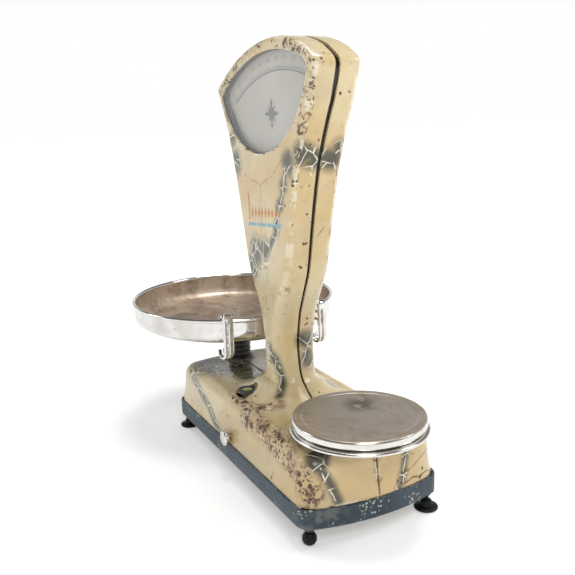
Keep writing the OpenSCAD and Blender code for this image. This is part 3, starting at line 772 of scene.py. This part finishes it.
def window_outline():
    """The dial window in X and Z: an arc about the pointer axis above a deep rounded sill."""
    top = [polar(FAN_DX, FAN_Z, WINDOW_R, a) for a in range(17, -33, -6)]
    sill = [(-146, 613), (-149, 606), (-143, 593), (-127, 572), (-104, 552), (-74, 534), (-40, 523),
            (-5, 520), (30, 525), (64, 536), (96, 555), (120, 578), (136, 600), (146, 620), (152, 638),
            (148, 646)]
    return [(TOWER_X + x, z) for x, z in smooth_curve(top + sill, 5, closed=True)]


def half_space(side):
    """Box that keeps one half of the housing; its inner face leans so that the seam narrows downwards."""
    y_low, y_high = 1.5, 4.3
    z_low, z_high = 40, 700
    lean = [(y_low, z_low), (y_high, z_high), (300, z_high), (300, z_low)]
    verts = [(x, side * y, z) for x in (-400, 500) for y, z in lean]
    faces = [(0, 1, 2, 3), (7, 6, 5, 4)] + [(i, i + 4, (i + 1) % 4 + 4, (i + 1) % 4) for i in range(4)]
    return tidy(mesh_object("half_space", verts, faces))


def housing():
    """Front and rear shells, cut from one smooth hollow casting."""
    outer = boolean(tower_solid(0), base_solid(0), "UNION")
    level, seat_z = middle("level_vial") / MM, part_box("level_ring")[1].z / MM - 4
    seat = boolean(rod("seat", (level.x, level.y, BASE_TOP + 12), 18.5, 40), outer, "INTERSECT", keep=True)
    inner = boolean(tower_solid(WALL), base_solid(WALL), "UNION")
    outer = boolean(outer, inner, "DIFFERENCE")
    outer = boolean(outer, seat, "UNION")
    for foot in FEET:
        screw = middle(foot) / MM
        outer = boolean(outer, rod("hole", (screw.x, screw.y, 56), 4.6, 18), "DIFFERENCE")
    outer = boolean(outer, rod("hole", (level.x, level.y, level.z), 12, 60), "DIFFERENCE")
    outer = boolean(outer, rod("hole", (level.x, level.y, seat_z + 15), 14.8, 30), "DIFFERENCE")
    for x in (GOODS_X, PLATE_X):
        outer = boolean(outer, rod("hole", (x, 0, BASE_TOP), 14, 60), "DIFFERENCE")
    shells = []
    for side, name in ((-1, "front_shell"), (1, "rear_shell")):
        shell = outer.copy()
        shell.data = outer.data.copy()
        shell.name = name
        bpy.context.scene.collection.objects.link(shell)
        shell = boolean(shell, half_space(side), "INTERSECT")
        cutter = prism_y("window_cutter", window_outline(), side * 24, side * 60)
        shell = boolean(shell, cutter, "DIFFERENCE")
        if side < 0:
            knob = middle("lock_shaft") / MM
            hole = rod("hole", (knob.x + 2.5, -110, knob.z), 4.5, 60, "-Y")
            shell = boolean(shell, hole, "DIFFERENCE")
        shells.append(tidy(shell, 38))
    bpy.data.objects.remove(outer)
    paint = enamel()
    for shell, node in zip(shells, ("front_housing", "rear_housing")):
        worn_edges(shell)
        finish_piece(shell, [paint], "root", node)


def finish_piece(ob, materials, body, replaced=None):
    ob.data.materials.clear()
    for m in materials:
        ob.data.materials.append(m)
    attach(ob, body)
    if replaced:
        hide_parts(*([replaced] if isinstance(replaced, str) else replaced))
    return ob


# ---------------------------------------------------------------- base frame
def base_frame(paint):
    """Cast skirt with rolled edges, two cross members and four bosses for the levelling screws."""
    z0, z1 = SKIRT_LOW, SKIRT_TOP
    profile = [(5, z1 - 2), (4, z1 - 0.6), (2.4, z1), (1.2, z1 - 0.3), (0.3, z1 - 1.2), (0, z1 - 2.6),
               (0, z0 + 3), (0.4, z0 + 1.4), (1.4, z0 + 0.4), (2.8, z0), (5, z0 + 1)]
    rings = [[(x, y, z) for x, y in base_plan(inset, 24)] for inset, z in profile]
    verts = [v for r in rings for v in r]
    parts = [tidy(mesh_object("skirt", verts, skin(len(rings[0]), len(rings), closed=True)))]
    for x in (0, 120):
        y = SKIRT_HALF_W - 3
        left, right = TOWER_X + x - 24, TOWER_X + x + 24
        bar = [(left, z0), (right, z0), (right, z0 + 6), (left, z0 + 6)]
        parts.append(bevel(prism_y("bar", bar, -y, y), 1.2))
    for foot in FEET:
        c = middle(foot) / MM
        boss = rounded([(4.05, z0), (12, z0), (12, z0 + 26), (4.05, z0 + 26)], 1.5) + [(4.05, z0)]
        parts.append(lathe("boss", boss, (c.x, c.y, 0), 40))
    ob = join("base_frame_cast", parts)
    worn_edges(ob, 0.12)
    finish_piece(ob, [paint], "root", "base_frame")


# ---------------------------------------------------------------- pans
def bowl():
    """Spun bowl with a rolled rim; the inner face has its own tarnished finish."""
    low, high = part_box("bowl")
    z0, z1, r = low.z / MM, high.z / MM, (high.x - low.x) / 2 / MM
    t = 1.6
    wall_z = z1 - 4
    depths = [i / 18 for i in range(2, 19)]
    outer = [(116 + (r - 119) * (1 - k ** 6) ** 0.27, wall_z - (wall_z - z0) * k) for k in depths]
    inner = [(max(q[0] - t, 0), max(q[1], z0 + t)) for q in outer[:-1]] + [(110, z0 + t)]
    turns = [radians(d) for d in range(-80, 251, 22)]
    lip = [(r - 3.4 + 3.4 * cos(a), z1 - 3.5 + 3.5 * sin(a)) for a in turns]
    under = [(0.01, z0)] + [(q, z0) for q in (30, 60, 90)] + outer[::-1]
    inside = inner + [(q, z0 + t) for q in (90, 60, 30, 0.01)]
    ob = lathe("goods_bowl", under + lip + inside, (BOWL_X, 0, 0), 160)
    metal, tarnish = chrome("bowl_chrome"), bowl_inside()
    finish_piece(ob, [metal, tarnish], "bowl", "bowl")
    for f in ob.data.polygons:
        c = f.center / MM
        inward = (Vector((BOWL_X, 0, 0)) - Vector((c.x, c.y, 0))).dot(f.normal) > 0
        upward = f.normal.z > 0.5
        f.material_index = int((inward or upward) and c.z < z1 - 5 and f.normal.z > -0.2)
    return metal


def strip_along(path, width, thick, name):
    """Crowned strap swept along an (out, up) path; its section is flat inside and rounded outside."""
    pts = [np.array(q, float) for q in path]
    n = len(pts)
    flat = [(-width / 2, -thick / 2), (width / 2, -thick / 2)]
    crown = [(width / 2 * cos(a), thick * (0.55 * sin(a) - 0.05)) for a in (pi * k / 8 for k in range(9))]
    ring = flat + crown
    verts = []
    for i, q in enumerate(pts):
        t = pts[min(i + 1, n - 1)] - pts[max(i - 1, 0)]
        t /= np.linalg.norm(t)
        out = np.array([t[1], -t[0]])
        for y, h in ring:
            v = q + out * h
            verts.append((v[0], y, v[1]))
    m = len(ring)
    faces = skin(m, n) + [tuple(range(m - 1, -1, -1)), tuple(range((n - 1) * m, n * m))]
    return tidy(mesh_object(name, verts, faces), 50)


def grips(metal):
    """Two chrome grips near the tower: a narrow and a broad half-round strap curled in under the bowl."""
    low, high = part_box("bowl_grips")
    bowl_low, bowl_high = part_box("bowl")
    rim_r = (bowl_high.x - bowl_low.x) / 2 / MM
    out, bend_r, knuckle_r, thick = 13.0, 10.0, 6.0, 4.4
    z_low, z_high = low.z / MM + bend_r + thick / 2, high.z / MM - knuckle_r - thick / 2
    turns = [pi * k / 14 for k in range(15)]
    curl = [(out - bend_r - bend_r * cos(a), z_low - bend_r * sin(a)) for a in turns]
    lip = [(out - 2 * bend_r, z_low + 3)]
    upright = [(out, z_low + (z_high - z_low) * k / 8) for k in range(1, 9)]
    over = [(out - knuckle_r + knuckle_r * cos(a), z_high + knuckle_r * sin(a)) for a in turns]
    parts = []
    for s in (-1, 1):
        angle = s * radians(28)
        place = Matrix.Translation(Vector((BOWL_X + rim_r * cos(angle), rim_r * sin(angle), 0)) * MM)
        place = place @ Matrix.Rotation(radians(12), 4, "Z")
        for across, width in ((-6, 5.8), (5, 9.8)):
            strap = strip_along(lip + curl + upright, width, thick, "strap")
            strap.data.transform(place @ Matrix.Translation(Vector((0, across, 0)) * MM))
            parts.append(strap)
        knuckle = strip_along(upright[-2:] + over, 19, thick, "knuckle")
        knuckle.data.transform(place @ Matrix.Translation(Vector((0, 0.5, 0)) * MM))
        parts.append(knuckle)
        for z in (222, 236):
            stud = rod("stud", (0, 0, 0), 2.9, 15, "Z", 24)
            head = lathe("head", [(0.01, -2), (4, -1.6), (4.2, -0.4), (3, 0.6), (0.01, 1)], (0, 0, -7), 24)
            for piece in (stud, head):
                turn = Matrix.Rotation(pi / 2, 4, "Y")
                piece.data.transform(place @ Matrix.Translation(Vector((3, 4, z)) * MM) @ turn)
                parts.append(piece)
    ob = join("bowl_grip_straps", parts)
    finish_piece(ob, [metal], "bowl", ["bowl_grips", "bowl_rivets"])


def weight_pan(metal):
    """Chrome flange on its post, and the loose weight plate on top."""
    low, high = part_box("weight_support")
    r, z1, post_z = (high.x - low.x) / 2 / MM, high.z / MM, low.z / MM
    flange = rounded([(0.01, post_z), (9, post_z), (9, 143.5), (91, 143.5), (94, 141.5), (98.5, 141.5),
                      (r, 142.6), (r, 145), (98.6, 146.4), (94, z1), (0.01, z1)], 1.4)
    ob = lathe("weight_flange", flange, (PLATE_X, 0, 0), 128)
    finish_piece(ob, [metal], "weight_support", "weight_support")
    low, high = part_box("weight_plate")
    r, z0, z1 = (high.x - low.x) / 2 / MM, low.z / MM, high.z / MM
    plate = rounded([(0.01, z0), (r - 5, z0), (r - 1.4, z0 + 1.6), (r, z0 + 4), (r, z1 - 3.6),
                     (r - 1.2, z1 - 1), (r - 4, z1), (r * 0.865, z1), (r * 0.845, z1 - 0.9),
                     (60, z1 - 0.9), (30, z1 - 0.9), (0.01, z1 - 0.9)], 1.5)
    ob = lathe("weight_disc", plate, (PLATE_X, 0, 0), 128)
    finish_piece(ob, [metal, plate_top()], "weight_plate", "weight_plate")
    for f in ob.data.polygons:
        f.material_index = 1 if f.normal.z > 0.8 else 0


def collar(black):
    """Ribbed rubber boot round the bowl's post."""
    low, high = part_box("goods_collar")
    z0, z1 = low.z / MM, high.z / MM
    ribs = [(21.4 + 0.9 * sin(k * pi / 2), z0 + 7 + k * 2.2) for k in range(16)]
    foot = [(12, z0), (25.6, z0), (26, z0 + 1), (26, z0 + 2.6), (23.4, z0 + 5)]
    top = [(20, z1 - 1), (19, z1), (12, z1), (12, z0)]
    ob = lathe("collar_boot", foot + ribs + top, (GOODS_X, 0, 0), 64)
    finish_piece(ob, [black], "root", "goods_collar")


def knob(metal):
    """Fluted locking knob."""
    low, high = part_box("lock_knob")
    c = middle("lock_knob") / MM
    r, depth = (high.x - low.x) / 2 / MM, (high.y - low.y) / MM
    profile = rounded([(0.01, 0), (r - 2, 0), (r, 1.4), (r, depth - 3.4), (r - 1.8, depth - 1.4),
                       (7, depth - 0.6), (6, depth - 1.4), (2, depth - 1.2), (0.01, depth - 0.9)], 0.8)
    fluted = {i for i, point in enumerate(profile) if point[0] > r - 1.2}

    def wave(a, i):
        return 1 - (0.045 * (0.5 + 0.5 * cos(18 * a)) if i in fluted else 0)

    ob = lathe("lock_knob_turned", profile, (c.x, high.y / MM, c.z), 144, "-Y", wave)
    finish_piece(ob, [metal], "lock_knob", "lock_knob")


def feet(black):
    """Three stepped pads and, at the front right, a screw that has lost its pad."""
    pad = rounded([(0.01, 0), (17, 0), (18, 1.2), (18, 3.4), (15, 5), (10.4, 6.2), (9, 8), (8.8, 12),
                   (7, 14), (4, 14.2)], 0.9)
    stem = [(3.95 if k % 2 else 3.55, 15 + k * 0.8) for k in range(52)]
    for name in ("foot_front_left", "foot_rear_left", "foot_rear_right"):
        c = middle(name) / MM
        ob = lathe(name + "_pad", pad + stem + [(0.01, 56)], (c.x, c.y, 0), 48)
        finish_piece(ob, [black], name, name)
    c = middle("foot_front_right") / MM
    ball = [(0.01 + 10.5 * sin(a), 10.5 - 10.5 * cos(a)) for a in (radians(d) for d in range(0, 160, 8))]
    thread = [(3.55, 20)] + [(q, z + 5) for q, z in stem[2:-6]]
    ob = lathe("foot_front_right_ball", ball + thread + [(0.01, 56)], (c.x, c.y, 0), 48)
    finish_piece(ob, [black], "foot_front_right", "foot_front_right")


# ---------------------------------------------------------------- dial
def flat_ring(x, z, r0, r1, a0, a1, y, steps=48):
    """Thin band of an arc in X and Z about (x, z); angles in degrees from straight up, clockwise."""
    verts = []
    for k in range(steps + 1):
        for r in (r0, r1):
            px, pz = polar(x, z, r, a0 + (a1 - a0) * k / steps)
            verts.append((px, y, pz))
    faces = [(2 * k, 2 * k + 1, 2 * k + 3, 2 * k + 2) for k in range(steps)]
    return mesh_object("band", verts, faces)


def number(text, x, z, height, turn, y, side):
    """Generic numeral as a thin mesh."""
    cu = bpy.data.curves.new("numeral", "FONT")
    cu.body = text
    cu.size = height * MM
    cu.align_x = "CENTER"
    cu.align_y = "CENTER"
    cu.extrude = 0
    ob = bpy.data.objects.new("numeral", cu)
    bpy.context.scene.collection.objects.link(ob)
    me = bpy.data.meshes.new_from_object(ob.evaluated_get(bpy.context.evaluated_depsgraph_get()))
    bpy.data.objects.remove(ob)
    ob = bpy.data.objects.new("numeral", me)
    bpy.context.scene.collection.objects.link(ob)
    me.transform(Matrix.Rotation(radians(-turn), 4, "Z"))
    me.transform(Matrix.Rotation(pi / 2, 4, "X"))
    if side > 0:
        me.transform(Matrix.Rotation(pi, 4, "Z"))
    me.transform(Matrix.Translation(Vector((x, y, z)) * MM))
    return ob


def dial_marks(side, dark, faint):
    """Scale arc, graduations, numbers and a plain star, printed on one dial."""
    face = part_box("front_dial")[0].y if side < 0 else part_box("rear_dial")[1].y
    y = face / MM + side * 0.12
    fx = TOWER_X + FAN_DX
    first, last = -31.0, 19.0
    arc_r = 305.0
    parts = [flat_ring(fx, FAN_Z, arc_r - 0.8, arc_r + 0.8, first, last, y, 80)]
    count = 100
    for k in range(count + 1):
        a = first + (last - first) * k / count
        long = 9 if k % 10 == 0 else 6.5 if k % 5 == 0 else 4
        w = 0.20 if k % 10 == 0 else 0.14
        parts.append(flat_ring(fx, FAN_Z, arc_r + 1.5, arc_r + 1.5 + long, a - w / 2, a + w / 2, y, 1))
    marks = []
    for k in range(0, count + 1, 10):
        a = first + (last - first) * k / count
        x, z = polar(fx, FAN_Z, arc_r + 17, a)
        marks.append(number(str(k * 10), x, z, 9, -side * a, y, side))
    ex, ez = TOWER_X + 12, 580.0
    for k in range(8):
        a = 45 * k
        tip, hollow = (27, 10) if k % 2 == 0 else (17, 9)
        outline = [(ex, ez)] + [polar(ex, ez, q, a + t) for q, t in ((hollow, -22), (tip, 0), (hollow, 22))]
        parts.append(mesh_object("ray", [(px, y, pz) for px, pz in outline], [(0, 1, 2, 3)]))
    parts.append(flat_ring(ex, ez, 17.4, 18.4, 0, 360, y, 60))
    name = "front" if side < 0 else "rear"
    finish_piece(join(name + "_dial_marks", parts), [dark], "root")
    finish_piece(join(name + "_dial_numbers", marks), [faint], "root")


def front_motif(orange, blue):
    """Faded orange diamonds after a tall bar, over a broken pale blue stripe; both rise to the right."""
    y = -FACE_Y - 0.10

    def patch(name, corners):
        verts = [(TOWER_X + x, y, z + 0.075 * (x + 56)) for x, z in corners]
        return mesh_object(name, verts, [tuple(range(len(corners)))])

    shapes = [patch("bar", [(-54, 414), (-49, 414), (-51, 456), (-55, 456)])]
    for k in range(9):
        x, half = -40 + 12 * k, 10.5 - 0.4 * k
        shapes.append(patch("diamond", [(x - 4.5, 425), (x, 425 - half), (x + 4.5, 425), (x, 425 + half)]))
    finish_piece(join("front_diamonds", shapes), [orange], "root")
    shapes = []
    for x0, x1 in ((-56, -30), (-26, 8), (12, 36), (40, 61)):
        shapes.append(patch("stripe", [(x0, 404), (x1, 404), (x1, 409), (x0, 409)]))
    finish_piece(join("front_stripes", shapes), [blue], "root")


# ---------------------------------------------------------------- studio
def studio():
    """Pale floor, soft lights and the camera at the photograph's angle."""
    bpy.ops.mesh.primitive_plane_add(size=60, location=(0, 0, -0.0005))
    floor = bpy.context.object
    floor.name = "studio_floor"
    p = Paint("pale_floor")
    p.set(Base_Color=p.mix(p.noise(3, 2), (0.90, 0.90, 0.90), (0.94, 0.94, 0.94)), Roughness=0.9)
    away = p.step(p.vector("DISTANCE", p.place, (0, 0, 0)), 0.7, 2.6)
    p.set(Emission_Color=(1, 1, 1), Emission_Strength=p.lerp(away, 0.34, 1.0))
    floor.data.materials.append(p.mat)
    world = bpy.data.worlds.new("studio")
    bpy.context.scene.world = world
    world.use_nodes = True
    tree = world.node_tree
    place = tree.nodes.new("ShaderNodeTexCoord")
    split = tree.nodes.new("ShaderNodeSeparateXYZ")
    fall = tree.nodes.new("ShaderNodeMapRange")
    fall.interpolation_type = "SMOOTHSTEP"
    tree.links.new(place.outputs["Generated"], split.inputs[0])
    tree.links.new(split.outputs["Z"], fall.inputs["Value"])
    fall.inputs["From Min"].default_value = 0.10
    fall.inputs["From Max"].default_value = 0.50
    fall.inputs["To Min"].default_value = 1.0
    fall.inputs["To Max"].default_value = 0.16
    tree.links.new(fall.outputs["Result"], tree.nodes["Background"].inputs["Strength"])
    tree.nodes["Background"].inputs["Color"].default_value = (1, 1, 1, 1)
    target = Vector((TOWER_X * MM, 0, 0.30))
    lamps = (("key", (2.1, -0.7, 2.0), 1.1, 22), ("back", (0.9, 1.7, 1.9), 0.9, 14),
             ("fill", (-1.6, -2.0, 1.6), 1.0, 9), ("top", (-0.1, 0.3, 2.3), 1.0, 26))
    for name, place, size, power in lamps:
        data = bpy.data.lights.new(name, "AREA")
        data.shape = "DISK"
        data.size = size
        data.energy = power
        lamp = bpy.data.objects.new(name, data)
        lamp.location = place
        lamp.rotation_euler = (target - Vector(place)).to_track_quat("-Z", "Y").to_euler()
        bpy.context.scene.collection.objects.link(lamp)

    azimuth, elevation, roll = radians(63.24), radians(13.0), radians(-1.87)
    distance = 1.208
    back = Vector((sin(azimuth) * cos(elevation), -cos(azimuth) * cos(elevation), sin(elevation)))
    right = Vector((cos(azimuth), sin(azimuth), 0))
    up = back.cross(right)
    x_axis = right * cos(roll) + up * sin(roll)
    y_axis = -right * sin(roll) + up * cos(roll)
    data = bpy.data.cameras.new("camera")
    data.sensor_width = 36
    data.lens = 46.6
    camera = bpy.data.objects.new("camera", data)
    bpy.context.scene.collection.objects.link(camera)
    aim = Vector(((TOWER_X + 0.1) * MM, 0.0002, 0.3047))
    rot = Matrix((x_axis, y_axis, back)).transposed().to_4x4()
    camera.matrix_world = Matrix.Translation(aim + back * distance) @ rot
    bpy.context.scene.camera = camera
    bpy.context.scene.view_settings.view_transform = "Standard"


# ---------------------------------------------------------------- carried-over CAD nodes
def dress(nodes, material):
    for name in nodes:
        NODES[name].data.materials.clear()
        NODES[name].data.materials.append(material)


def main():
    housing()
    base_frame(blue_skirt())
    bowl_metal = bowl()
    grips(bowl_metal)
    plate_metal = chrome("plate_chrome", (0.74, 0.72, 0.69), (0.12, 0.28), 0.35)
    weight_pan(plate_metal)
    black_rubber = rubber("black_rubber", srgb(22, 22, 24))
    collar(black_rubber)
    knob(chrome("knob_chrome", (0.70, 0.68, 0.64), (0.2, 0.4), 0.5))
    black_metal = plain_metal("black_cast", srgb(30, 30, 31), 0.45, 0.6)
    feet(black_metal)
    faint = ink("faded_print", srgb(120, 118, 116))
    dark = ink("dark_print", srgb(66, 66, 66))
    for side in (-1, 1):
        dial_marks(side, dark, faint)
    front_motif(ink("orange_paint", srgb(196, 132, 52)), ink("pale_blue_paint", srgb(120, 172, 186)))

    steel = plain_metal("dull_steel", srgb(150, 148, 142), 0.35)
    iron = plain_metal("dark_casting", srgb(62, 63, 65), 0.55, 0.4, 120)
    seal = rubber("window_seal_rubber", srgb(58, 62, 66), 0.25)
    dress(["tower_frame", "lock_nuts"], rubber("black_frame_paint", srgb(14, 14, 14), 0.2))
    dress(["front_dial", "rear_dial"], printed_dial())
    dress(["front_window_seal", "rear_window_seal", "level_ring"], seal)
    dress(["front_glass", "rear_glass"], window_glass())
    dress(["level_vial"], vial_fluid())
    dress(["plate_collar"], black_rubber)
    dress(["bearing_stands", "dashpot_cylinder", "beam", "check_link", "goods_support"], iron)
    dress(["beam_knife", "beam_pins", "check_link_pin", "goods_support_pins", "weight_support_pins",
           "goods_collar_ring", "housing_screws", "connecting_rod", "crank", "pendulum_arm",
           "pointer_shaft", "dashpot_piston", "lock_shaft"], steel)
    dress(["pendulum_bob"], plain_metal("dull_brass", srgb(176, 144, 84), 0.35))
    dress(["front_pointer", "rear_pointer"], plain_metal("pointer_black", srgb(24, 24, 24), 0.5, 0.0))
    studio()


main()
